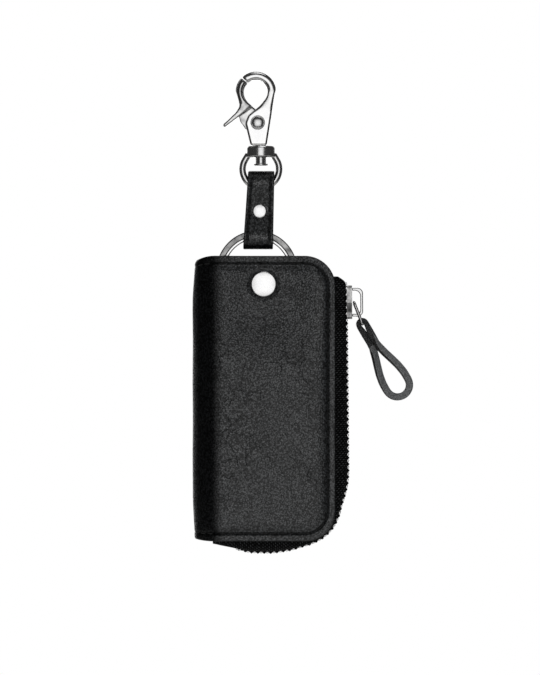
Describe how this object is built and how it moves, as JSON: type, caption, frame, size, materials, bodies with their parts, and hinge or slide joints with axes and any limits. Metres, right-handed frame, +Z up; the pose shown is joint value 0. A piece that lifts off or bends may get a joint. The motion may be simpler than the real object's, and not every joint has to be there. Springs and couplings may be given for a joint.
{
  "type": "zip key case with a trigger snap",
  "caption": "Flat leather key case with a zip round two sides and a press stud, on a split ring, folded strap and swivelling trigger snap.",
  "frame": {"origin": "centre of the trigger snap's round opening", "axes": "+Z up the hanging key case, +X towards the zip and its pull, -Y the front with the press stud's cap"},
  "size_m": [0.0852, 0.0194, 0.187],
  "materials": {
    "plated_casting": "polished nickel plate",
    "plated_wire": "polished nickel plate",
    "plated_teeth": "bright plate, tumbled",
    "spring_steel": "drawn wire",
    "case_leather": "black, fine pebble grain",
    "strap_leather": "black, smooth with burnished edges",
    "lining_leather": "black, thin and smooth",
    "zip_tape": "black twill tape",
    "felt_padding": "soft board"
  },
  "bodies": {
    "hook": {"hook_body": "plated_casting", "trigger_pin": "plated_casting", "trigger_spring": "spring_steel", "swivel_stud": "plated_casting"},
    "trigger": {"hook_trigger": "plated_casting"},
    "eye": {"swivel_eye": "plated_wire"},
    "strap": {"strap": "strap_leather", "strap_rivet_cap": "plated_wire", "strap_rivet_post": "plated_wire"},
    "ring": {"key_ring": "plated_wire"},
    "case": {"back_cover": "case_leather", "back_padding": "felt_padding", "back_lining": "lining_leather", "back_zip_tape": "zip_tape", "back_zip_teeth": "plated_teeth", "back_top_stop": "plated_teeth", "zip_bottom_stop": "plated_teeth", "snap_stud": "plated_wire", "snap_post": "plated_wire"},
    "front": {"front_cover": "case_leather", "front_padding": "felt_padding", "front_lining": "lining_leather", "front_zip_tape": "zip_tape", "front_zip_teeth": "plated_teeth", "front_top_stop": "plated_teeth", "snap_cap": "plated_wire", "snap_socket": "plated_wire"},
    "slider": {"slider_body": "plated_casting", "slider_bridge": "plated_casting"},
    "link": {"pull_link": "plated_wire"},
    "thong": {"pull_thong": "strap_leather"}
  },
  "joints": [
    {"name": "trigger_open", "type": "hinge", "parent": "hook", "child": "trigger", "pos_m": [0.0007, 0, -0.012], "axis": [0, -1, 0], "range_deg": [0, 25], "stiffness_Nm_per_rad": 0.02, "springref_deg": -28.65, "deforming": ["trigger_spring"]},
    {"name": "swivel_turn", "type": "hinge", "parent": "hook", "child": "eye", "pos_m": [0.0019, 0, -0.0256], "axis": [0, 0, 1], "continuous": true},
    {"name": "strap_swing", "type": "hinge", "parent": "eye", "child": "strap", "pos_m": [0.0019, 0, -0.03548], "axis": [1, 0, 0], "range_deg": [-80, 80]},
    {"name": "ring_swing", "type": "hinge", "parent": "strap", "child": "ring", "pos_m": [0.001, 0, -0.05638], "axis": [1, 0, 0], "range_deg": [-95, 95]},
    {"name": "case_sway", "type": "hinge", "parent": "ring", "child": "case", "pos_m": [0.0004, 0, -0.06963], "axis": [0, 1, 0], "range_deg": [-15, 15]},
    {"name": "cover_open", "type": "hinge", "parent": "case", "child": "front", "pos_m": [-0.0246, 0, -0.11893], "axis": [0, 0, -1], "range_deg": [0, 150], "deforming": ["front_zip_tape", "front_zip_teeth", "back_zip_tape", "back_zip_teeth"]},
    {"name": "slider_travel", "type": "slide", "parent": "case", "child": "slider", "axis": [0.0097, 0, -1], "range_m": [0, 0.062]},
    {"name": "link_swing", "type": "hinge", "parent": "slider", "child": "link", "pos_m": [0.03803, 0, -0.08168], "axis": [0, -1, 0], "range_deg": [-8, 120]},
    {"name": "thong_swing", "type": "hinge", "parent": "link", "child": "thong", "pos_m": [0.0413, 0, -0.09017], "axis": [0, -1, 0], "range_deg": [-10, 45]}
  ],
  "couplings": [
    {"joint": "slider_travel", "follows": "cover_open", "m_per_rad": 0.0235}
  ]
}
